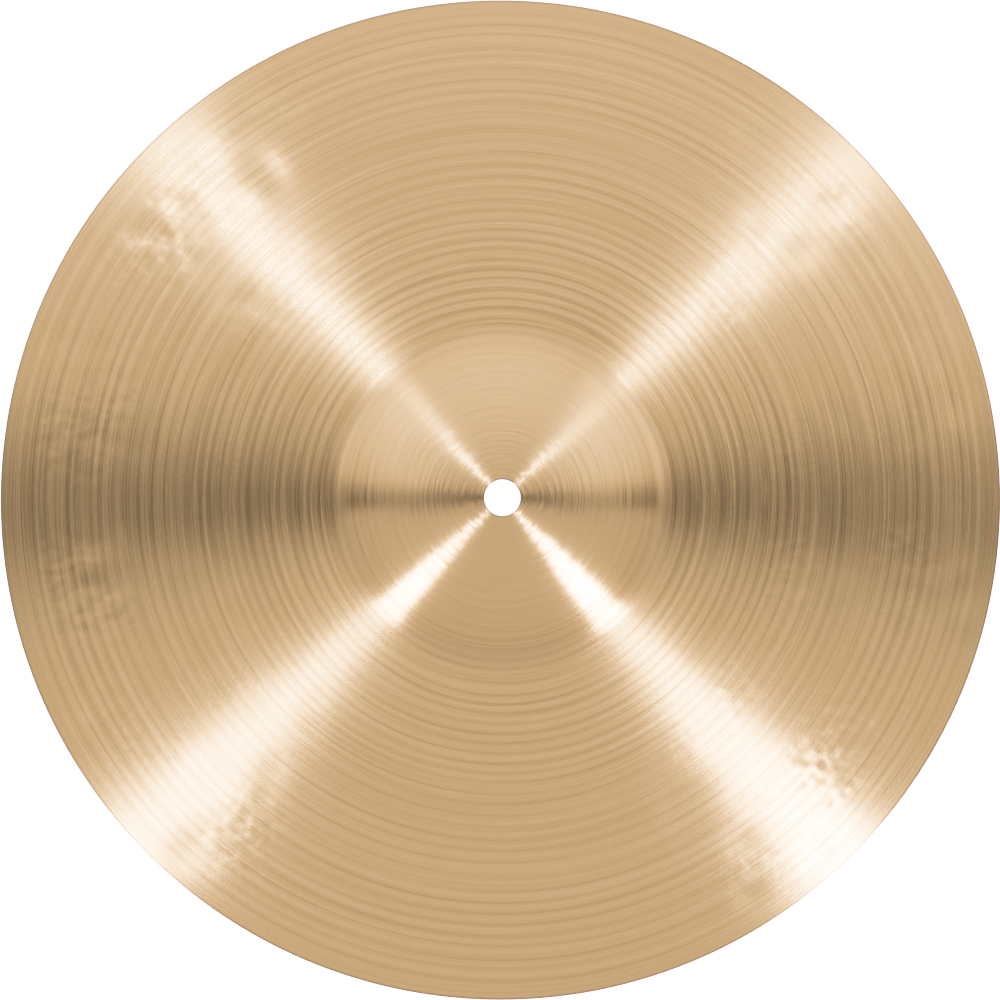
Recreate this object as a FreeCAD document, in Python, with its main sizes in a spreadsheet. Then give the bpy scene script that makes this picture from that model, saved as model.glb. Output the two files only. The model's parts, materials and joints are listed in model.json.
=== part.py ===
"""Crash cymbal, 14 inch, as a parametric FreeCAD document.

A crash cymbal is one piece of cast B20 bronze: a domed bell with a mounting hole at its crown, a
shallow bow round the bell, and a thin edge. Nothing is fastened to it and nothing on it moves, so
the model is one body. Its section is a sketch of tangent arcs, revolved about the cymbal's axis.

The frame: millimetres, +Z up out of the bell, and the origin on the axis in the plane that the
edge rests on.
"""

import FreeCAD, Part
import math
import os
import Sketcher

# Driving dimensions: alias, value, what it is. Lengths are in millimetres.
DIMENSIONS = [
    ("cymbal_diameter", 355.6, "outer diameter, 14 inches"),
    ("hole_diameter", 12.7, "mounting hole, 1/2 inch"),
    ("bell_diameter", 124.0, "where the bell's blend meets the bow"),
    ("crown_height", 37.5, "rest plane to the top of the bell's dome, as if it had no hole"),
    ("bow_radius", 900.0, "radius of the bow's upper face"),
    ("foot_blend", 16.0, "radius of the hollow blend from bell to bow, on the upper face"),
    ("crown_thickness", 1.25, "metal at the crown"),
    ("foot_thickness", 1.05, "metal at the bell's foot"),
    ("edge_thickness", 0.75, "metal at the edge"),
    ("rest_land", 0.5, "width of the flat under the edge, which the cymbal rests on"),
    ("edge_round", 0.25, "rounding of the edge's upper corner"),
    ("deburr", 0.15, "rounding of the edge's lower corner and of the hole's two corners"),
]

NODE = "cymbal"
BRONZE_DENSITY = 8.65e-6  # kg per cubic millimetre, B20 bronze
FULL_TURN = 360.0

# FreeCAD's numbers for a sketch's own origin and axes, and for the points of a piece of geometry.
ORIGIN, VERTICAL_AXIS = -1, -2
HORIZONTAL_AXIS = -1
START, END, CENTRE = 1, 2, 3


# ---- the section's points ----


def circle_height(inner, outer):
    """Height of a circle's centre on the axis, from two points (r, z) that it passes through."""
    squares = outer[0] ** 2 + outer[1] ** 2 - inner[0] ** 2 - inner[1] ** 2
    return squares / (2 * (outer[1] - inner[1]))


def bell_points(foot, bow_height, blend, crown):
    """One face of the bell: a dome centred on the axis, and the hollow blend from it to the bow.

    foot is where the blend meets the bow, whose circle is centred on the axis at bow_height. The
    dome's circle reaches the height crown on the axis and touches the blend's circle.
    """
    bow_reach = math.hypot(foot[0], foot[1] - bow_height)
    stretch = 1 + blend / bow_reach
    blend_centre = (foot[0] * stretch, bow_height + (foot[1] - bow_height) * stretch)
    drop = blend_centre[1] - crown
    dome_radius = (blend_centre[0] ** 2 + drop**2 - blend**2) / (2 * (blend - drop))
    dome_height = crown - dome_radius
    share = dome_radius / (dome_radius + blend)
    return {
        "touch": (blend_centre[0] * share, dome_height + (blend_centre[1] - dome_height) * share),
        "dome_centre": (0.0, dome_height),
        "dome_radius": dome_radius,
        "blend_centre": blend_centre,
        "foot": foot,
        "crown": (0.0, crown),
    }


def corner_points(face_height, face_radius, wall, outward, below):
    """The rounding between a face, whose circle is centred on the axis, and an upright wall.

    outward and below are the rounding's radius with a sign: outward is positive where the metal
    lies further out than the wall, and below is positive where it lies under the face.
    """
    centre_radius = wall + outward
    reach = face_radius - below
    rise = math.sqrt(reach**2 - centre_radius**2)
    stretch = face_radius / reach
    return {
        "centre": (centre_radius, face_height + rise),
        "on_face": (centre_radius * stretch, face_height + rise * stretch),
        "on_wall": (wall, face_height + rise),
    }


def section_points(size):
    """Every corner and centre of the section, worked out from the driving dimensions."""
    edge_radius = size["cymbal_diameter"] / 2
    hole_radius = size["hole_diameter"] / 2
    foot_radius = size["bell_diameter"] / 2
    bow_radius = size["bow_radius"]
    deburr = size["deburr"]
    bow_height = size["edge_thickness"] - math.sqrt(bow_radius**2 - edge_radius**2)
    foot = (foot_radius, bow_height + math.sqrt(bow_radius**2 - foot_radius**2))
    land_end = (edge_radius - size["rest_land"], 0.0)
    under_foot = (foot_radius, foot[1] - size["foot_thickness"])
    under_bow_height = circle_height(under_foot, land_end)
    under_blend = size["foot_blend"] + size["foot_thickness"]
    under_crown = size["crown_height"] - size["crown_thickness"]
    top = bell_points(foot, bow_height, size["foot_blend"], size["crown_height"])
    under = bell_points(under_foot, under_bow_height, under_blend, under_crown)
    edge_round = size["edge_round"]
    return {
        "edge_corner": (edge_radius, size["edge_thickness"]),
        "land_start": (edge_radius - deburr, 0.0),
        "land_end": land_end,
        "bow_centre": (0.0, bow_height),
        "under_bow_centre": (0.0, under_bow_height),
        "top": top,
        "under": under,
        "edge_top": corner_points(bow_height, bow_radius, edge_radius, -edge_round, edge_round),
        "edge_low": {"centre": (edge_radius - deburr, deburr), "on_wall": (edge_radius, deburr)},
        "hole_top": corner_points(
            top["dome_centre"][1], top["dome_radius"], hole_radius, deburr, deburr
        ),
        "hole_low": corner_points(
            under["dome_centre"][1], under["dome_radius"], hole_radius, deburr, -deburr
        ),
    }


# ---- sketch helpers ----


def vector(point):
    return FreeCAD.Vector(point[0], point[1], 0)


def arc(centre, start, end):
    """A sketch arc about centre, anticlockwise from start to end."""
    angles = [math.atan2(p[1] - centre[1], p[0] - centre[0]) for p in (start, end)]
    radius = math.hypot(start[0] - centre[0], start[1] - centre[1])
    circle = Part.Circle(vector(centre), FreeCAD.Vector(0, 0, 1), radius)
    return Part.ArcOfCircle(circle, angles[0], angles[1])


def line(start, end):
    return Part.LineSegment(vector(start), vector(end))


def origin_plane(body, role):
    return next(feature for feature in body.Origin.OriginFeatures if feature.Role == role)


def bind(sketch, name, index, expression):
    """Names one of the sketch's dimensions and drives it from the spreadsheet."""
    sketch.renameConstraint(index, name)
    sketch.setExpression(f"Constraints.{name}", expression)


# ---- the document ----


def make_sheet(doc):
    """The spreadsheet of driving dimensions, and its values by alias."""
    sheet = doc.addObject("Spreadsheet::Sheet", "Dimensions")
    for row, (alias, value, meaning) in enumerate(DIMENSIONS, start=1):
        sheet.set(f"A{row}", alias)
        sheet.set(f"B{row}", str(value))
        sheet.set(f"C{row}", meaning)
        sheet.setAlias(f"B{row}", alias)
    doc.recompute()
    return {alias: float(sheet.get(alias)) for alias, _, _ in DIMENSIONS}


def make_section(body, size):
    """The closed section on the XZ plane, right of the axis, with every dimension from the sheet."""
    sketch = body.newObject("Sketcher::SketchObject", "Section")
    sketch.AttachmentSupport = (origin_plane(body, "XZ_Plane"), [""])
    sketch.MapMode = "FlatFace"
    points = section_points(size)
    top, under = points["top"], points["under"]
    edge_top, edge_low = points["edge_top"], points["edge_low"]
    hole_top, hole_low = points["hole_top"], points["hole_low"]

    dome = sketch.addGeometry(arc(top["dome_centre"], top["touch"], hole_top["on_face"]))
    blend = sketch.addGeometry(arc(top["blend_centre"], top["touch"], top["foot"]))
    bow = sketch.addGeometry(arc(points["bow_centre"], edge_top["on_face"], top["foot"]))
    edge_rounding = sketch.addGeometry(arc(edge_top["centre"], edge_top["on_wall"], edge_top["on_face"]))
    edge = sketch.addGeometry(line(edge_top["on_wall"], edge_low["on_wall"]))
    edge_deburr = sketch.addGeometry(arc(edge_low["centre"], points["land_start"], edge_low["on_wall"]))
    land = sketch.addGeometry(line(points["land_start"], points["land_end"]))
    under_bow = sketch.addGeometry(arc(points["under_bow_centre"], points["land_end"], under["foot"]))
    under_blend = sketch.addGeometry(arc(under["blend_centre"], under["touch"], under["foot"]))
    under_dome = sketch.addGeometry(arc(under["dome_centre"], under["touch"], hole_low["on_face"]))
    low_deburr = sketch.addGeometry(arc(hole_low["centre"], hole_low["on_wall"], hole_low["on_face"]))
    hole = sketch.addGeometry(line(hole_low["on_wall"], hole_top["on_wall"]))
    top_deburr = sketch.addGeometry(arc(hole_top["centre"], hole_top["on_face"], hole_top["on_wall"]))
    crown = sketch.addGeometry(Part.Point(vector(top["crown"])), True)
    under_crown = sketch.addGeometry(Part.Point(vector(under["crown"])), True)
    edge_corner = sketch.addGeometry(Part.Point(vector(points["edge_corner"])), True)

    def fix(*terms):
        return sketch.addConstraint(Sketcher.Constraint(*terms))

    for centred in (dome, bow, under_bow, under_dome):
        fix("PointOnObject", centred, CENTRE, VERTICAL_AXIS)
    for first, first_end, second, second_end in (
        (dome, START, blend, START),
        (blend, END, bow, END),
        (bow, START, edge_rounding, END),
        (edge_rounding, START, edge, START),
        (edge, END, edge_deburr, END),
        (edge_deburr, START, land, START),
        (under_bow, END, under_blend, END),
        (under_blend, START, under_dome, START),
        (under_dome, END, low_deburr, END),
        (low_deburr, START, hole, START),
        (hole, END, top_deburr, END),
        (top_deburr, START, dome, END),
    ):
        fix("Tangent", first, first_end, second, second_end)
    fix("Coincident", land, END, under_bow, START)
    fix("Vertical", edge)
    fix("Vertical", hole)
    fix("Horizontal", land)
    fix("PointOnObject", land, END, HORIZONTAL_AXIS)
    fix("Vertical", blend, END, under_blend, END)
    for point, first_curve, second_curve in (
        (crown, VERTICAL_AXIS, dome),
        (under_crown, VERTICAL_AXIS, under_dome),
        (edge_corner, edge, bow),
    ):
        fix("PointOnObject", point, START, first_curve)
        fix("PointOnObject", point, START, second_curve)

    sheet = "Dimensions."
    across = "DistanceX"
    upward = "DistanceY"
    for name, terms, expression in (
        ("edge_radius", (across, ORIGIN, START, edge, START), sheet + "cymbal_diameter / 2"),
        ("hole_radius", (across, ORIGIN, START, hole, END), sheet + "hole_diameter / 2"),
        ("foot_radius", (across, ORIGIN, START, blend, END), sheet + "bell_diameter / 2"),
        ("crown_height", (upward, ORIGIN, START, crown, START), sheet + "crown_height"),
        ("bow_radius", ("Radius", bow), sheet + "bow_radius"),
        ("foot_blend", ("Radius", blend), sheet + "foot_blend"),
        ("under_blend", ("Radius", under_blend), sheet + "foot_blend + " + sheet + "foot_thickness"),
        ("crown_thickness", (upward, under_crown, START, crown, START), sheet + "crown_thickness"),
        ("foot_thickness", (upward, under_blend, END, blend, END), sheet + "foot_thickness"),
        ("edge_thickness", (upward, ORIGIN, START, edge_corner, START), sheet + "edge_thickness"),
        ("rest_land", (across, land, END, edge, START), sheet + "rest_land"),
        ("edge_round", ("Radius", edge_rounding), sheet + "edge_round"),
        ("edge_deburr", ("Radius", edge_deburr), sheet + "deburr"),
        ("hole_top_deburr", ("Radius", top_deburr), sheet + "deburr"),
        ("hole_low_deburr", ("Radius", low_deburr), sheet + "deburr"),
    ):
        value = measure(sketch, terms)
        bind(sketch, name, fix(*terms, value), expression)
    return sketch


def measure(sketch, terms):
    """The present value of a dimension that is about to be fixed."""
    if terms[0] == "Radius":
        return sketch.Geometry[terms[1]].Radius
    first, second = (sketch.getPoint(*terms[i : i + 2]) for i in (1, 3))
    return second.x - first.x if terms[0] == "DistanceX" else second.y - first.y


def make_cymbal(doc, size):
    """The cymbal: the section, with its rounded corners, revolved about the axis."""
    body = doc.addObject("PartDesign::Body", "Cymbal")
    body.Label = NODE
    section = make_section(body, size)
    doc.recompute()

    turned = body.newObject("PartDesign::Revolution", "Turned")
    turned.Profile = section
    turned.ReferenceAxis = (section, ["V_Axis"])
    turned.Angle = FULL_TURN
    doc.recompute()
    section.Visibility = False
    return body


def check(doc, body):
    """Stops the macro if a feature failed or the body isn't one sound solid."""
    failed = [o.Name for o in doc.Objects if {"Invalid", "Error"} & set(o.State)]
    if failed:
        raise RuntimeError(f"these features failed: {failed}")
    if not doc.getObject("Section").FullyConstrained:
        raise RuntimeError("the section isn't fully constrained")
    shape = body.Shape
    if shape.isNull() or not shape.isValid() or len(shape.Solids) != 1:
        raise RuntimeError(f"{body.Label} isn't one valid solid")


def main():
    doc = FreeCAD.newDocument("CrashCymbal")
    size = make_sheet(doc)
    cymbal = make_cymbal(doc, size)
    check(doc, cymbal)
    os.makedirs("parts", exist_ok=True)
    cymbal.Shape.exportStep(f"parts/{cymbal.Label}.step")
    shape = cymbal.Shape
    box = shape.optimalBoundingBox(False, False)
    print(f"{cymbal.Label}: {box.XLength:.2f} x {box.YLength:.2f} x {box.ZLength:.2f} mm")
    print(f"volume {shape.Volume:.0f} mm3, {shape.Volume * BRONZE_DENSITY:.3f} kg in B20 bronze")


main()
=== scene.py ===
"""Looks of the 14 inch crash cymbal: lathed and hammered bronze under studio light.

The cymbal is turned again from the CAD section as one dense mesh, so that the lathe's tonal
grooves and the hammer marks are real relief on both faces. The hair-fine lathe lines, the bell's
fine rings and the small dents are bump. All lengths are metres, in the CAD frame: +Z out of the
bell, origin where the edge rests.
"""

import bpy
import json
import math
import random
import numpy as np
from mathutils import Matrix, Vector


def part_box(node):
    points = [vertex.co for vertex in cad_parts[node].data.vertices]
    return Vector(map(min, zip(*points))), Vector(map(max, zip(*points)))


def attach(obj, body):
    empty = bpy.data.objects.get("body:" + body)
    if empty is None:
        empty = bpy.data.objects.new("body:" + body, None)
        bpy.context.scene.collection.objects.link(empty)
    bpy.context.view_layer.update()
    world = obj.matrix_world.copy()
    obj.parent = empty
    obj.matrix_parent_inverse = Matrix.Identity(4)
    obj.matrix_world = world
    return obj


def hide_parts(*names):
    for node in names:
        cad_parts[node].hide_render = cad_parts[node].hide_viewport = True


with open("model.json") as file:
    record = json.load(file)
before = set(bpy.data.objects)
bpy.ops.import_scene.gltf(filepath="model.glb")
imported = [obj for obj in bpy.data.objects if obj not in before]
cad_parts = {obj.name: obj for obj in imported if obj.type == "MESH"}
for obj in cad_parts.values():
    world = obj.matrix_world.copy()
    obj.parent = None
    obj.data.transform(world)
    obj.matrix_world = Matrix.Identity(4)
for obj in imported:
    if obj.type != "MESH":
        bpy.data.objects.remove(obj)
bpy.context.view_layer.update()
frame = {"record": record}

MM = 0.001
BODY = "root"
NODE = "cymbal"

# ---- the section, as in the CAD ----

_, cad_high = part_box(NODE)
hole_mount = next(m for m in frame["record"]["mounts"] if m["name"] == "stand_hole")
EDGE_RADIUS = cad_high[0]
HOLE_RADIUS = hole_mount["dims"]["r_mm"] * MM
FOOT_RADIUS = 62.0 * MM
CROWN_HEIGHT = 37.5 * MM
BOW_RADIUS = 900.0 * MM
FOOT_BLEND = 16.0 * MM
CROWN_THICKNESS = 1.25 * MM
FOOT_THICKNESS = 1.05 * MM
EDGE_THICKNESS = 0.75 * MM
REST_LAND = 0.5 * MM
EDGE_ROUND = 0.25 * MM
DEBURR = 0.15 * MM


class Face:
    """One face of the cymbal: a dome, a hollow blend and a bow, all on circles.

    The blend's circle touches the bow's at the foot, and the dome's touches the blend's.
    """

    def __init__(self, foot_height, bow_height, bow_radius, blend, crown):
        self.bow_height, self.bow_radius, self.blend = bow_height, bow_radius, blend
        reach = math.hypot(FOOT_RADIUS, foot_height - bow_height)
        stretch = 1 + blend / reach
        self.blend_at = FOOT_RADIUS * stretch
        self.blend_height = bow_height + (foot_height - bow_height) * stretch
        drop = self.blend_height - crown
        self.dome_radius = (self.blend_at**2 + drop**2 - blend**2) / (2 * (blend - drop))
        self.dome_height = crown - self.dome_radius
        self.touch = self.blend_at * self.dome_radius / (self.dome_radius + blend)

    def height(self, radius):
        """Heights at an array of radii."""
        inside = np.minimum(radius, self.touch)
        between = np.clip(radius, self.touch, FOOT_RADIUS)
        dome = self.dome_height + np.sqrt(self.dome_radius**2 - inside**2)
        blend = self.blend_height - np.sqrt(self.blend**2 - (between - self.blend_at) ** 2)
        bow = self.bow_height + np.sqrt(self.bow_radius**2 - radius**2)
        return np.where(radius < self.touch, dome, np.where(radius < FOOT_RADIUS, blend, bow))


def make_faces():
    """The top face and the underside. Each bow's centre is on the axis, below the cymbal."""
    bow_height = EDGE_THICKNESS - math.sqrt(BOW_RADIUS**2 - EDGE_RADIUS**2)
    foot_height = bow_height + math.sqrt(BOW_RADIUS**2 - FOOT_RADIUS**2)
    top = Face(foot_height, bow_height, BOW_RADIUS, FOOT_BLEND, CROWN_HEIGHT)
    low_foot = foot_height - FOOT_THICKNESS
    land_end = EDGE_RADIUS - REST_LAND
    low_bow_height = (land_end**2 - FOOT_RADIUS**2 - low_foot**2) / (-2 * low_foot)
    low_bow_radius = math.hypot(land_end, low_bow_height)
    low_blend = FOOT_BLEND + FOOT_THICKNESS
    low_crown = CROWN_HEIGHT - CROWN_THICKNESS
    return top, Face(low_foot, low_bow_height, low_bow_radius, low_blend, low_crown)


# ---- relief: tonal grooves and hammer marks ----

SEED = 1414
rng = random.Random(SEED)


def bump_window(radius, start, full, fade, end):
    """1 between full and fade, easing to 0 at start and end. All as fractions of the radius."""
    rise = np.clip((radius / EDGE_RADIUS - start) / (full - start), 0, 1)
    fall = np.clip((end - radius / EDGE_RADIUS) / (end - fade), 0, 1)
    return (rise * rise * (3 - 2 * rise)) * (fall * fall * (3 - 2 * fall))


def wobble(rng, count):
    """A smooth random function of azimuth between -1 and 1, as waves (turns, size, phase)."""
    return [(n, rng.uniform(0.4, 1) / n, rng.uniform(0, math.tau)) for n in range(1, count + 1)]


def wobble_at(waves, azimuth):
    """The wobble's value at an array of azimuths."""
    total = sum(size for _, size, _ in waves)
    return sum(size * np.sin(turns * azimuth + phase) for turns, size, phase in waves) / total


# Each band of grooves: start, full, fade, end (fractions of the radius), pitch, depth.
GROOVE_BANDS = (
    (0.12, 0.20, 0.32, 0.37, 3.4 * MM, 0.045 * MM),
    (0.34, 0.38, 0.54, 0.64, 3.5 * MM, 0.036 * MM),
    (0.56, 0.64, 0.74, 0.80, 4.2 * MM, 0.022 * MM),
    (0.74, 0.80, 0.95, 0.99, 4.0 * MM, 0.029 * MM),
)
PITCH_DRIFT = 0.04  # how far the pitch wanders, in turns
STRENGTH_SWING = 0.2  # how much a band's depth changes round the cymbal
GROOVE_DEPTH = max(depth for *_, depth in GROOVE_BANDS)


def groove_bands(rng):
    """The bands, each with its own changes of depth round the cymbal and of pitch along it."""
    bands = []
    for start, full, fade, end, pitch, depth in GROOVE_BANDS:
        strength = wobble(rng, 5)
        drift = [(rng.uniform(5, 14) * MM, rng.uniform(0, math.tau)) for _ in range(4)]
        bands.append((start, full, fade, end, pitch, depth, strength, drift))
    return bands


def grooves(bands, radius, azimuth):
    """The lathe's tonal grooves: spiral ridges, round on top, with sharp valleys.

    Gives their height, and the same as shares of the deepest groove's, which paint shade in the
    valleys and light on the crests.
    """
    height = tone = np.zeros_like(radius * azimuth)
    for start, full, fade, end, pitch, depth, strength, drift in bands:
        turns = radius / pitch - azimuth / math.tau
        for wavelength, offset in drift:
            turns = turns + PITCH_DRIFT * np.sin(math.tau * radius / wavelength + offset)
        across = turns - np.floor(turns)
        ridge = 4 * across * (1 - across) - 2 / 3
        local = 1 + STRENGTH_SWING * wobble_at(strength, azimuth)
        share = bump_window(radius, start, full, fade, end) * local * ridge
        height = height + depth * share
        # The tone is painted shade in the valleys and painted light on the crests.
        tone = tone + depth / GROOVE_DEPTH * share
    return height, tone


HAMMER_COUNT = 260
HAMMER_ZONE = (0.40, 0.96)  # shares of the radius between which the blows fall
HAMMER_WIDTHS = (3.0 * MM, 5.0 * MM)  # of a blow, round the cymbal
HAMMER_STRETCH = (0.8, 1.6)  # its size along the radius over its width
HAMMER_DEPTH = 0.15 * MM  # of the deepest, at the edge
HAMMER_FADE = 3  # the power of the radius that the depth grows with


def hammer_marks(rng):
    """Seeded hammer blows: (radius, azimuth, radial size, tangential size, depth)."""
    marks = []
    nearest, farthest = HAMMER_ZONE
    for _ in range(HAMMER_COUNT):
        radius = EDGE_RADIUS * math.sqrt(rng.uniform(nearest**2, farthest**2))
        azimuth = rng.uniform(0, math.tau)
        across = rng.uniform(*HAMMER_WIDTHS)
        along = across * rng.uniform(*HAMMER_STRETCH)
        depth = rng.uniform(0.0, HAMMER_DEPTH) * (radius / EDGE_RADIUS) ** HAMMER_FADE
        marks.append((radius, azimuth, along, across, depth))
    return marks


def hammering(marks, radius, azimuth):
    """Height of the hammer marks, 0 or below, at a grid of radii by azimuths."""
    height = np.zeros((len(radius), len(azimuth)))
    for mark_radius, mark_azimuth, along, across, depth in marks:
        rows = np.abs(radius - mark_radius) < 3 * along
        if not rows.any():
            continue
        turn = (azimuth - mark_azimuth + math.pi) % math.tau - math.pi
        sideways = (turn * mark_radius / across) ** 2
        outward = ((radius[rows] - mark_radius) / along) ** 2
        height[rows] -= depth * np.exp(-0.5 * (outward[:, None] + sideways[None, :]))
    return height


# ---- the mesh ----

AZIMUTHS = 300
TOP_PITCHES = ((0.31, 0.80 * MM), (0.66, 0.62 * MM), (1.0, 0.80 * MM))
UNDER_PITCHES = ((0.34, 5.0 * MM), (1.0, 3.0 * MM))
CORNER_STEPS = 4
# The relief eases to nothing over these lengths at the hole and at the edge.
FADE_AT_HOLE = 6 * MM
FADE_AT_EDGE = 4 * MM


def spaced_radii(start, end, pitches, breaks):
    """Radii from start to end, at each zone's pitch, with a ring on every break."""
    radii = [start]
    stops = sorted({*(b for b in breaks if start < b < end), end})
    limits = [share * EDGE_RADIUS for share, _ in pitches]
    stops = sorted({*stops, *(limit for limit in limits if start < limit < end)})
    for stop in stops:
        middle = (radii[-1] + stop) / 2
        pitch = next(p for (_, p), limit in zip(pitches, limits) if middle <= limit + 1e-9)
        steps = max(1, round((stop - radii[-1]) / pitch))
        begin = radii[-1]
        radii += [begin + (stop - begin) * (i + 1) / steps for i in range(steps)]
    return np.array(radii)


def corner(face_height, face_radius, wall, outward, below):
    """Points round a corner between a face's circle and an upright wall, from face to wall."""
    centre_radius = wall + outward
    reach = face_radius - below
    rise = math.sqrt(reach**2 - centre_radius**2)
    centre = (centre_radius, face_height + rise)
    first = (centre_radius * face_radius / reach, face_height + rise * face_radius / reach)
    start = math.atan2(first[1] - centre[1], first[0] - centre[0])
    end = math.pi if outward > 0 else 0.0
    start = start % math.tau if outward > 0 else start
    size = abs(outward)
    angles = [start + (end - start) * i / CORNER_STEPS for i in range(CORNER_STEPS + 1)]
    return [(centre[0] + size * math.cos(a), centre[1] + size * math.sin(a)) for a in angles]


def face_grid(face, radii, relief):
    """Points of a face: the section's height, moved along the section's normal by the relief."""
    height = face.height(radii)
    step = 1e-6
    slope = (face.height(radii + step) - face.height(radii - step)) / (2 * step)
    length = np.sqrt(1 + slope**2)
    out = radii[:, None] - (slope / length)[:, None] * relief
    up = height[:, None] + (1 / length)[:, None] * relief
    return out, up


def plain_rings(points, count):
    """Radii, heights and a painted groove shade of 0 for smooth rings through points of the
    section.
    """
    grid = np.ones((1, count))
    radii, heights = (np.array(values)[:, None] * grid for values in zip(*points))
    return radii, heights, 0 * heights


def relief(radii, azimuth, bands, marks):
    """Height of grooves and hammer marks, and the grooves' painted shade, at a grid of radii by
    azimuths.
    """
    room = np.clip((radii - HOLE_RADIUS) / FADE_AT_HOLE, 0, 1)
    room = (room * np.clip((EDGE_RADIUS - REST_LAND - radii) / FADE_AT_EDGE, 0, 1))[:, None]
    height, tone = grooves(bands, radii[:, None], azimuth[None, :])
    return (height + hammering(marks, radii, azimuth)) * room, tone * room


def section_rings(azimuth):
    """Radii, heights and painted groove shade of all the rings: out along the top and back along
    the underside.
    """
    top, low = make_faces()
    top_bands, low_bands = groove_bands(rng), groove_bands(rng)
    marks = hammer_marks(rng)

    hole_top = corner(top.dome_height, top.dome_radius, HOLE_RADIUS, DEBURR, DEBURR)
    hole_low = corner(low.dome_height, low.dome_radius, HOLE_RADIUS, DEBURR, -DEBURR)
    edge_top = corner(top.bow_height, top.bow_radius, EDGE_RADIUS, -EDGE_ROUND, EDGE_ROUND)
    quarter = [math.pi / 2 * i / CORNER_STEPS for i in range(CORNER_STEPS + 1)]
    edge_low = [
        (EDGE_RADIUS - DEBURR * (1 - math.cos(a)), DEBURR * (1 - math.sin(a))) for a in quarter
    ]
    land_end = EDGE_RADIUS - REST_LAND

    top_radii = spaced_radii(hole_top[0][0], edge_top[0][0], TOP_PITCHES, (top.touch, FOOT_RADIUS))
    low_radii = spaced_radii(hole_low[0][0], land_end, UNDER_PITCHES, (low.touch, FOOT_RADIUS))
    top_height, top_shade = relief(top_radii, azimuth, top_bands, marks)
    low_height, low_shade = relief(low_radii, azimuth, low_bands, marks)
    low_grid = (*face_grid(low, low_radii, low_height), low_shade)
    parts = [
        (*face_grid(top, top_radii, top_height), top_shade),
        plain_rings(edge_top[1:], AZIMUTHS),
        plain_rings(edge_low, AZIMUTHS),
        [grid[::-1] for grid in low_grid],
        plain_rings(hole_low[1:], AZIMUTHS),
        plain_rings(hole_top[:0:-1], AZIMUTHS),
    ]
    return [np.concatenate(grids) for grids in zip(*parts)]


def ring_quads(rings):
    """Vertex numbers of the quads between neighbouring rings, and from the last to the first."""
    ring = np.arange(rings)[:, None]
    step = np.arange(AZIMUTHS)[None, :]
    next_ring, next_step = (ring + 1) % rings, (step + 1) % AZIMUTHS
    return np.stack(
        [
            ring * AZIMUTHS + step,
            next_ring * AZIMUTHS + step,
            next_ring * AZIMUTHS + next_step,
            ring * AZIMUTHS + next_step,
        ],
        axis=-1,
    ).reshape(-1, 4)


def make_cymbal():
    """One closed mesh, with each point's share of groove ridge as an attribute, for painted groove
    shade.
    """
    azimuth = np.arange(AZIMUTHS) * math.tau / AZIMUTHS
    radii, heights, groove_shades = section_rings(azimuth)
    points = np.stack(
        [radii * np.cos(azimuth), radii * np.sin(azimuth), heights], axis=-1
    ).reshape(-1, 3)
    quads = ring_quads(len(radii))

    mesh = bpy.data.meshes.new("bronze_cymbal")
    mesh.vertices.add(len(points))
    mesh.vertices.foreach_set("co", points.astype(np.float32).ravel())
    mesh.loops.add(quads.size)
    mesh.loops.foreach_set("vertex_index", quads.astype(np.int32).ravel())
    mesh.polygons.add(len(quads))
    mesh.polygons.foreach_set("loop_start", np.arange(0, quads.size, 4, dtype=np.int32))
    mesh.polygons.foreach_set("loop_total", np.full(len(quads), 4, dtype=np.int32))
    mesh.polygons.foreach_set("use_smooth", np.ones(len(quads), dtype=bool))
    mesh.update(calc_edges=True)
    mesh.validate()
    ridge = mesh.attributes.new("ridge", "FLOAT", "POINT")
    ridge.data.foreach_set("value", groove_shades.astype(np.float32).ravel())
    cymbal = bpy.data.objects.new("bronze_cymbal", mesh)
    bpy.context.collection.objects.link(cymbal)
    print("cymbal mesh:", len(points), "points,", 2 * len(quads), "triangles")
    return cymbal


# ---- material helpers ----


class Nodes:
    """Short calls for building a node tree."""

    def __init__(self, tree):
        self.tree = tree
        tree.nodes.clear()

    def add(self, kind, settings=(), **inputs):
        node = self.tree.nodes.new(kind)
        for name, value in dict(settings).items():
            setattr(node, name, value)
        for name, value in inputs.items():
            socket = node.inputs[int(name[1:])] if name[0] == "i" and name[1:].isdigit() else None
            socket = socket or node.inputs[name.replace("_", " ")]
            self.feed(socket, value)
        return node

    def feed(self, socket, value):
        if isinstance(value, bpy.types.NodeSocket):
            self.tree.links.new(value, socket)
        else:
            socket.default_value = value

    def math(self, operation, first, second=0.0):
        node = self.add("ShaderNodeMath", {"operation": operation}, i0=first, i1=second)
        return node.outputs[0]

    def vector(self, operation, first, second=None):
        node = self.add("ShaderNodeVectorMath", {"operation": operation}, i0=first)
        if second is not None:
            self.feed(node.inputs[1], second)
        return node.outputs[1] if operation in ("LENGTH", "DOT_PRODUCT") else node.outputs[0]

    def ranged(self, value, low, high, to_low, to_high, smooth=False):
        kind = "SMOOTHSTEP" if smooth else "LINEAR"
        node = self.add("ShaderNodeMapRange", {"interpolation_type": kind})
        for index, number in enumerate((value, low, high, to_low, to_high)):
            self.feed(node.inputs[index], number)
        return node.outputs[0]

    def mix(self, share, first, second):
        node = self.add("ShaderNodeMix", {"data_type": "RGBA"}, i0=share)
        self.feed(node.inputs[6], first)
        self.feed(node.inputs[7], second)
        return node.outputs[2]

    def blend(self, *terms):
        """Sum of signals times their shares."""
        total = 0.0
        for signal, share in terms:
            total = self.math("ADD", self.math("MULTIPLY", signal, share), total)
        return total

    def noise(self, vector, scale, detail=2.0, roughness=0.5):
        node = self.add(
            "ShaderNodeTexNoise", Vector=vector, Scale=scale, Detail=detail, Roughness=roughness
        )
        return node.outputs[0]


# ---- bronze ----

# The tone mix runs from the deep to the pale bronze: random tone, with painted shade and light on
# the grooves and painted glints on the scribed lines.
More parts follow.
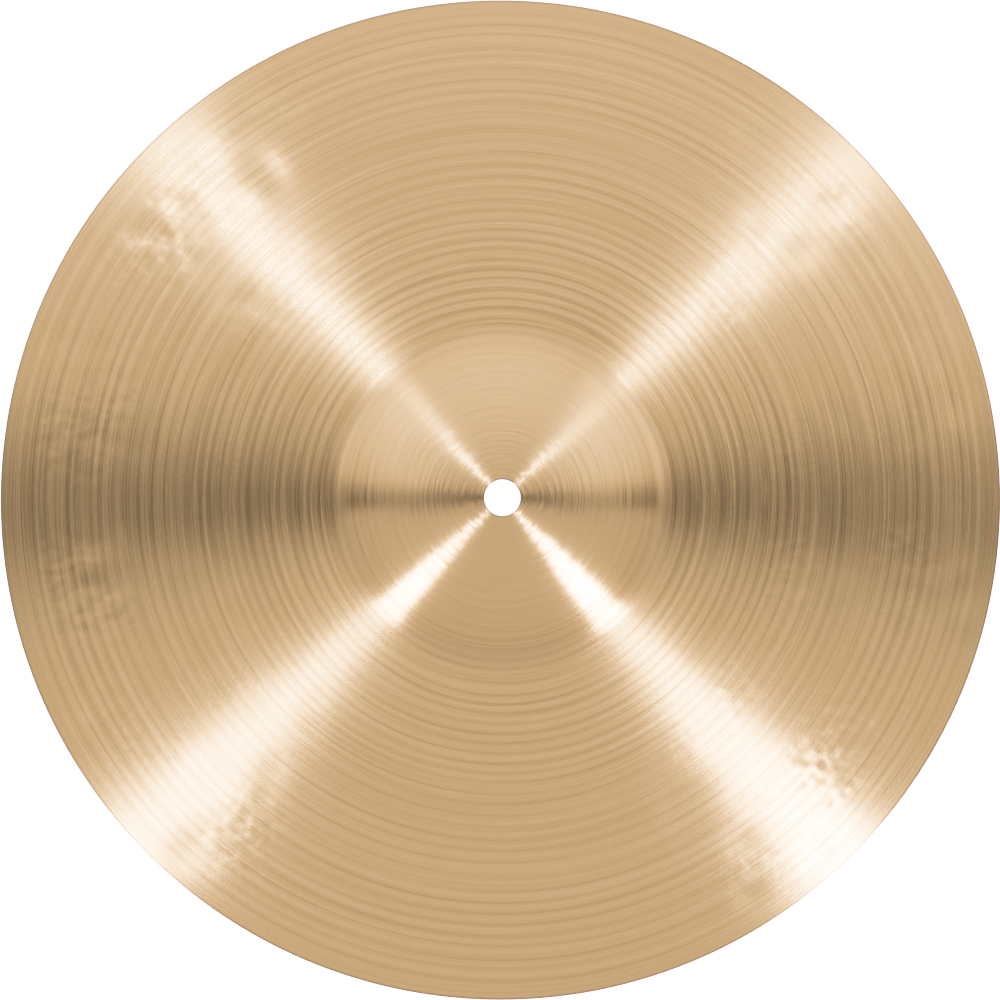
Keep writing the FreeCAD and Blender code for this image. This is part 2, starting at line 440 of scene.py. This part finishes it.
BRONZE_DEEP = (0.70, 0.464, 0.233, 1.0)
BRONZE_PALE = (0.96, 0.644, 0.331, 1.0)
# Painted shade: a darker bronze along the edge and round the lip of the hole, over the widths
# below, and in the bell's hollow foot.
BRONZE_SHADE = (0.56, 0.37, 0.19, 1.0)
EDGE_SHADE_WIDTH = 0.9 * MM
LIP_SHADE_WIDTH = 0.4 * MM
# The bell's hollow foot is painted a little darker, a painted shade over the bright reflection
# that the hollow catches: the middle of that ring, how far from it the painted shade is full and
# then gone, and its share.
FOOT_RING = FOOT_RADIUS - 0.3 * FOOT_BLEND
FOOT_REACH = (0.12 * FOOT_BLEND, 0.33 * FOOT_BLEND)
FOOT_SHADE = 0.30
BELL_TO_BOW = (FOOT_RADIUS - 10.0 * MM, FOOT_RADIUS)  # where the bell's texture becomes the bow's

HAIR_PITCH = 0.35 * MM
FINE_PITCH = 0.75 * MM
MIDDLE_PITCH = 1.6 * MM
HAIR_DEPTH = 0.020 * MM
FINE_DEPTH = 0.040 * MM
MIDDLE_DEPTH = 0.018 * MM
# Added on the bell alone.
BELL_FINE_DEPTH = 0.02 * MM
BELL_MIDDLE_DEPTH = 0.20 * MM
# A scribed line is rougher and is also painted lighter, a painted glint.
LINE_WIDTH = 0.035  # how near 0 the middle rings' noise is within a scribed line
BELL_TONE = 0.18  # how much of the bow's change of colour the bell has

ROUGHNESS = 0.25
BELL_SWING = 0.07
BOW_SWING = 0.14

# Rings of close hammering: middle and half width as shares of the radius, and strength.
HAMMER_RINGS = ((0.60, 0.08, 0.5), (0.84, 0.12, 1.0))
RING_CORE = 0.4  # share of the half width that has the full strength
PATCH_SCALE = 14.0  # patches per metre
PATCH_EDGE = (0.42, 0.60)  # the noise between which a patch begins and is full
DENT_SIZE = 6.5 * MM
DENT_DEPTH = 0.11 * MM


def ring_noise(nodes, radius, heading, pitch, arcs, start):
    """Noise from -0.5 to 0.5 in rings of about that pitch, changing slowly round each ring."""
    round_part = nodes.vector("MULTIPLY", heading, (arcs, arcs, arcs))
    out = nodes.math("ADD", nodes.math("DIVIDE", radius, pitch), start)
    along = nodes.add("ShaderNodeCombineXYZ", Z=out).outputs[0]
    noise = nodes.noise(nodes.vector("ADD", round_part, along), 1.0, 1.0)
    return nodes.math("SUBTRACT", noise, 0.5)


def small_dents(nodes, place, radius):
    """Noise in patches within the rings of close hammering."""
    share = nodes.math("DIVIDE", radius, EDGE_RADIUS)
    hammered = 0.0
    for centre, half_width, strength in HAMMER_RINGS:
        off = nodes.math("ABSOLUTE", nodes.math("SUBTRACT", share, centre))
        ring = nodes.ranged(off, RING_CORE * half_width, half_width, strength, 0.0, smooth=True)
        hammered = nodes.math("ADD", ring, hammered)
    patches = nodes.ranged(nodes.noise(place, PATCH_SCALE), *PATCH_EDGE, 0.0, 1.0, smooth=True)
    dents = nodes.math("SUBTRACT", nodes.noise(place, 1 / DENT_SIZE, 1.0), 0.5)
    return nodes.math("MULTIPLY", dents, nodes.math("MULTIPLY", hammered, patches))


def painted_shade(nodes, radius):
    """Share of painted shade, a darker bronze: on the edge, in the bell's hollow foot and round the
    lip of the hole.
    """
    edge = nodes.ranged(radius, EDGE_RADIUS - EDGE_SHADE_WIDTH, EDGE_RADIUS - 0.5 * EDGE_SHADE_WIDTH, 0.0, 1.0)
    lip = nodes.ranged(radius, HOLE_RADIUS + LIP_SHADE_WIDTH, HOLE_RADIUS + 1.5 * LIP_SHADE_WIDTH, 1.0, 0.0)
    from_foot = nodes.math("ABSOLUTE", nodes.math("SUBTRACT", radius, FOOT_RING))
    foot = nodes.ranged(from_foot, *FOOT_REACH, FOOT_SHADE, 0.0, smooth=True)
    return nodes.math("ADD", nodes.math("ADD", edge, foot), lip)


def make_bronze():
    """Turned bronze: hair-fine rings spread light out from the axis and hardly round it."""
    material = bpy.data.materials.new("turned_bronze")
    material.use_nodes = True
    nodes = Nodes(material.node_tree)
    place = nodes.add("ShaderNodeTexCoord").outputs["Object"]
    flat = nodes.vector("MULTIPLY", place, (1.0, 1.0, 0.0))
    radius = nodes.vector("LENGTH", flat)
    heading = nodes.vector("NORMALIZE", flat)

    hair = ring_noise(nodes, radius, heading, HAIR_PITCH, arcs=1.6, start=0.0)
    fine = ring_noise(nodes, radius, heading, FINE_PITCH, arcs=1.3, start=37.0)
    middle = ring_noise(nodes, radius, heading, MIDDLE_PITCH, arcs=0.9, start=71.0)
    lines = nodes.ranged(nodes.math("ABSOLUTE", middle), 0.0, LINE_WIDTH, 1.0, 0.0)
    # The groove ridge: painted shade in the valleys and painted light on the crests.
    ridge = nodes.add("ShaderNodeAttribute", {"attribute_name": "ridge"}).outputs["Fac"]
    on_bow = nodes.ranged(radius, *BELL_TO_BOW, 0.0, 1.0, smooth=True)
    on_bell = nodes.math("SUBTRACT", 1.0, on_bow)

    height = nodes.blend((hair, HAIR_DEPTH), (fine, FINE_DEPTH), (middle, MIDDLE_DEPTH))
    coarse = nodes.blend((fine, BELL_FINE_DEPTH), (middle, BELL_MIDDLE_DEPTH))
    height = nodes.math("ADD", height, nodes.math("MULTIPLY", coarse, on_bell))
    dents = nodes.math("MULTIPLY", small_dents(nodes, place, radius), DENT_DEPTH)
    height = nodes.math("ADD", height, dents)
    bump = nodes.add("ShaderNodeBump", Strength=1.0, Distance=1.0, Height=height)

    # The tone: random tone from the noises, painted shade and light on the grooves from the ridge,
    # and painted glints on the scribed lines.
    tone = nodes.blend((hair, 0.6), (fine, 0.8), (middle, 0.15), (ridge, 1.1), (lines, 0.15))
    tone = nodes.math("MULTIPLY", tone, nodes.ranged(on_bow, 0.0, 1.0, BELL_TONE, 1.0))
    colour = nodes.mix(nodes.math("ADD", tone, 0.5), BRONZE_DEEP, BRONZE_PALE)
    # Painted shade on the edge, in the bell's hollow foot and round the lip of the hole.
    colour = nodes.mix(painted_shade(nodes, radius), colour, BRONZE_SHADE)
    swing = nodes.blend((hair, 0.9), (fine, 1.0), (middle, 0.1), (lines, 0.25))
    swing = nodes.math("MULTIPLY", swing, nodes.ranged(on_bow, 0.0, 1.0, BELL_SWING, BOW_SWING))
    tangent = nodes.add("ShaderNodeTangent", {"direction_type": "RADIAL", "axis": "Z"}).outputs[0]
    shader = nodes.add(
        "ShaderNodeBsdfPrincipled",
        Base_Color=colour,
        Metallic=1.0,
        Roughness=nodes.math("ADD", swing, ROUGHNESS),
        Anisotropic=1.0,
        Tangent=tangent,
        Normal=bump.outputs[0],
    )
    shader.inputs["Anisotropic Rotation"].default_value = 0.25
    nodes.add("ShaderNodeOutputMaterial", Surface=shader.outputs[0])
    return material


# ---- studio ----

FLOOR_GLOW = 3.2
FLOOR_WHITE = (0.86, 0.86, 0.86, 1.0)
FLOOR_HALF = 15.0
FLOOR_HEIGHT = -0.1 * MM  # just under the edge, so that the two surfaces don't meet


def make_floor():
    """A pale floor that glows, to show white in the hole too, and that the metal can't reflect."""
    material = bpy.data.materials.new("pale_floor")
    material.use_nodes = True
    nodes = Nodes(material.node_tree)
    shader = nodes.add(
        "ShaderNodeBsdfPrincipled",
        Base_Color=FLOOR_WHITE,
        Roughness=0.9,
        Emission_Strength=FLOOR_GLOW,
    )
    shader.inputs["Emission Color"].default_value = (1.0, 1.0, 1.0, 1.0)
    nodes.add("ShaderNodeOutputMaterial", Surface=shader.outputs[0])
    mesh = bpy.data.meshes.new("floor")
    turns = ((-1, -1), (1, -1), (1, 1), (-1, 1))
    corners = [(FLOOR_HALF * x, FLOOR_HALF * y, FLOOR_HEIGHT) for x, y in turns]
    mesh.from_pydata(corners, [], [(0, 1, 2, 3)])
    mesh.materials.append(material)
    floor = bpy.data.objects.new("floor", mesh)
    bpy.context.collection.objects.link(floor)
    floor.visible_glossy = False


# Strip lights: name, azimuth (0 is +X, 90 is +Y), angle from overhead, length, width, radiance.
# The lengths point at the axis, so each pair of high and low strips draws one narrow spoke of
# light: the high one on the bow and the top of the bell, the low one down the bell's side.
LIGHT_DISTANCE = 4.0
STRIPS = (
    ("north_east_high", 44.2, 20.5, 0.64, 0.080, 24.5),
    ("north_east_low", 43.0, 50.0, 3.00, 0.420, 0.65),
    ("north_west_high", 129.7, 19.0, 0.64, 0.080, 30.0),
    ("north_west_low", 130.0, 50.0, 3.00, 0.420, 0.75),
    ("south_west_high", 222.5, 22.6, 0.85, 0.230, 9.4),
    ("south_west_low", 224.7, 59.0, 2.30, 0.640, 7.3),
    ("south_east_high", 316.4, 27.5, 1.00, 0.290, 10.4),
    ("south_east_low", 313.5, 59.0, 2.20, 0.710, 7.9),
)


def make_strips():
    """Strip lights facing the cymbal, hidden from the camera."""
    for name, azimuth, overhead, length, width, radiance in STRIPS:
        light = bpy.data.lights.new(name, "AREA")
        light.shape = "RECTANGLE"
        light.size, light.size_y = width, length
        light.energy = radiance * math.pi * width * length
        turn, lean = math.radians(azimuth), math.radians(overhead)
        away = Vector(
            (math.sin(lean) * math.cos(turn), math.sin(lean) * math.sin(turn), math.cos(lean))
        )
        strip = bpy.data.objects.new(name, light)
        strip.location = away * LIGHT_DISTANCE
        strip.rotation_mode = "QUATERNION"
        strip.rotation_quaternion = away.to_track_quat("Z", "Y")
        strip.visible_camera = False
        bpy.context.collection.objects.link(strip)


# The room's radiance: overhead and how much it grows towards the wall, for +Y and for -Y.
ROOM_NORTH = (0.440, 0.95)
ROOM_SOUTH = (0.72, -0.015)
# The two sides: radiance added half-way down towards -X and towards +X, the distances out along X
# between which it comes in and then falls, and the share of it left at the horizon.
ROOM_SIDES = (1.05, 1.27)
SIDES_START = (0.48, 0.64)
SIDES_FALL = (0.6, 1.0)
SIDES_LOW = 0.05
# The share of it left on the -Y half and far out to +Y, and the values of Y between which it turns.
SIDES_SOUTH = 0.0
SOUTH_TURN = (-0.08, 0.0)
SIDES_NORTH = 0.7
NORTH_TURN = (0.15, 0.60)
GAP = (0.50, 0.27)  # how fast the dark wedges towards -X and +X widen, to +Y and to -Y
GAP_REACH = (0.05, 0.37)  # distances out along X at which they start and stop widening
HORIZON = (-0.20, 0.26)  # heights between which the room brightens from dark
ROOM_SEEN = 6.0  # what the camera sees behind everything: white


def make_world():
    """A soft room round the table, with a dark wedge towards -X and another towards +X."""
    world = bpy.data.worlds.new("studio")
    bpy.context.scene.world = world
    world.use_nodes = True
    nodes = Nodes(world.node_tree)
    way = nodes.add("ShaderNodeTexCoord").outputs["Generated"]
    x, y, z = nodes.add("ShaderNodeSeparateXYZ", Vector=way).outputs
    out = nodes.math("ABSOLUTE", y)
    north = nodes.ranged(out, 0.0, 1.0, ROOM_NORTH[0], sum(ROOM_NORTH))
    south = nodes.ranged(out, 0.0, 1.0, ROOM_SOUTH[0], sum(ROOM_SOUTH))
    facing = nodes.math("GREATER_THAN", y, 0.0)
    room = nodes.ranged(facing, 0.0, 1.0, south, north)

    across = nodes.math("ABSOLUTE", x)
    gap = nodes.ranged(facing, 0.0, 1.0, GAP[1], GAP[0])
    gap = nodes.math("MULTIPLY", gap, nodes.ranged(across, *GAP_REACH, *GAP_REACH))
    room = nodes.math("MULTIPLY", room, nodes.ranged(out, 0.0, gap, 0.0, 1.0, smooth=True))

    side = nodes.ranged(nodes.math("GREATER_THAN", x, 0.0), 0.0, 1.0, *ROOM_SIDES)
    sides = nodes.ranged(across, *SIDES_START, 0.0, side, smooth=True)
    sides = nodes.math("MULTIPLY", sides, nodes.ranged(across, *SIDES_FALL, 1.0, SIDES_LOW))
    sides = nodes.math("MULTIPLY", sides, nodes.ranged(y, *SOUTH_TURN, SIDES_SOUTH, 1.0))
    sides = nodes.math("MULTIPLY", sides, nodes.ranged(y, *NORTH_TURN, 1.0, SIDES_NORTH))

    strength = nodes.math("ADD", room, sides)
    strength = nodes.math("MULTIPLY", strength, nodes.ranged(z, *HORIZON, 0.0, 1.0, smooth=True))
    seen = nodes.add("ShaderNodeLightPath").outputs["Is Camera Ray"]
    strength = nodes.ranged(seen, 0.0, 1.0, strength, ROOM_SEEN)
    shader = nodes.add("ShaderNodeBackground", Color=(1.0, 1.0, 1.0, 1.0), Strength=strength)
    nodes.add("ShaderNodeOutputWorld", Surface=shader.outputs[0])


CAMERA_DISTANCE = 2.5
SENSOR = 36.0 * MM
CAMERA_LEAN = (-0.8, -0.96)  # degrees off the axis towards +X and +Y
FRAME_FILL = 1.0  # the disc's diameter over the picture's width
CAMERA_OFFSET = (-0.32 * MM, -0.18 * MM)  # along X and Y, without turning


def make_camera():
    """Looks straight down the axis from far off, a degree off it, with +Y up in the picture."""
    camera = bpy.data.cameras.new("camera")
    camera.sensor_width = SENSOR / MM
    camera.lens = camera.sensor_width * CAMERA_DISTANCE * FRAME_FILL / (2 * EDGE_RADIUS)
    camera.clip_end = 50.0
    eye = bpy.data.objects.new("camera", camera)
    eye.location = (
        CAMERA_DISTANCE * math.tan(math.radians(CAMERA_LEAN[0])),
        CAMERA_DISTANCE * math.tan(math.radians(CAMERA_LEAN[1])),
        CAMERA_DISTANCE,
    )
    back = Vector(eye.location).normalized()
    eye.location += Vector((*CAMERA_OFFSET, 0.0))
    right = Vector((0.0, 1.0, 0.0)).cross(back).normalized()
    eye.rotation_mode = "QUATERNION"
    eye.rotation_quaternion = Matrix((right, back.cross(right), back)).transposed().to_quaternion()
    bpy.context.collection.objects.link(eye)
    bpy.context.scene.camera = eye


# The film: scene brightness to picture brightness. It copies the dark tones straight and then
# rolls off, red first and blue last, so that highlights on the bronze go cream and then white.
FILM_WHITE = 4.5
FILM_RED = (
    (0.57, 0.57), (0.78, 0.685), (1.05, 0.775), (1.38, 0.86), (1.8, 0.925), (2.4, 0.98), (3.4, 1.0)
)
FILM_GREEN = (
    (0.38, 0.38), (0.52, 0.48), (0.70, 0.58), (0.92, 0.68), (1.2, 0.785), (1.6, 0.88), (2.3, 0.965),
    (3.0, 1.0),
)
FILM_BLUE = ((0.19, 0.19), (0.36, 0.385), (0.61, 0.63), (0.82, 0.77), (1.17, 0.905), (1.55, 1.0))


def set_film():
    """Shows the scene through the film's curves."""
    view = bpy.context.scene.view_settings
    view.view_transform = "Standard"
    view.look = "None"
    view.use_curve_mapping = True
    mapping = view.curve_mapping
    mapping.white_level = (FILM_WHITE,) * 3
    mapping.extend = "HORIZONTAL"
    for curve, film in zip(mapping.curves, (FILM_RED, FILM_GREEN, FILM_BLUE)):
        curve.points[1].location = (1.0, 1.0)
        for bright, shown in film:
            curve.points.new(bright / FILM_WHITE, shown)
        for point in curve.points:
            point.handle_type = "VECTOR"
    mapping.update()


cymbal = make_cymbal()
cymbal.data.materials.append(make_bronze())
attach(cymbal, BODY)
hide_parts(NODE)
make_floor()
make_strips()
make_world()
make_camera()
set_film()
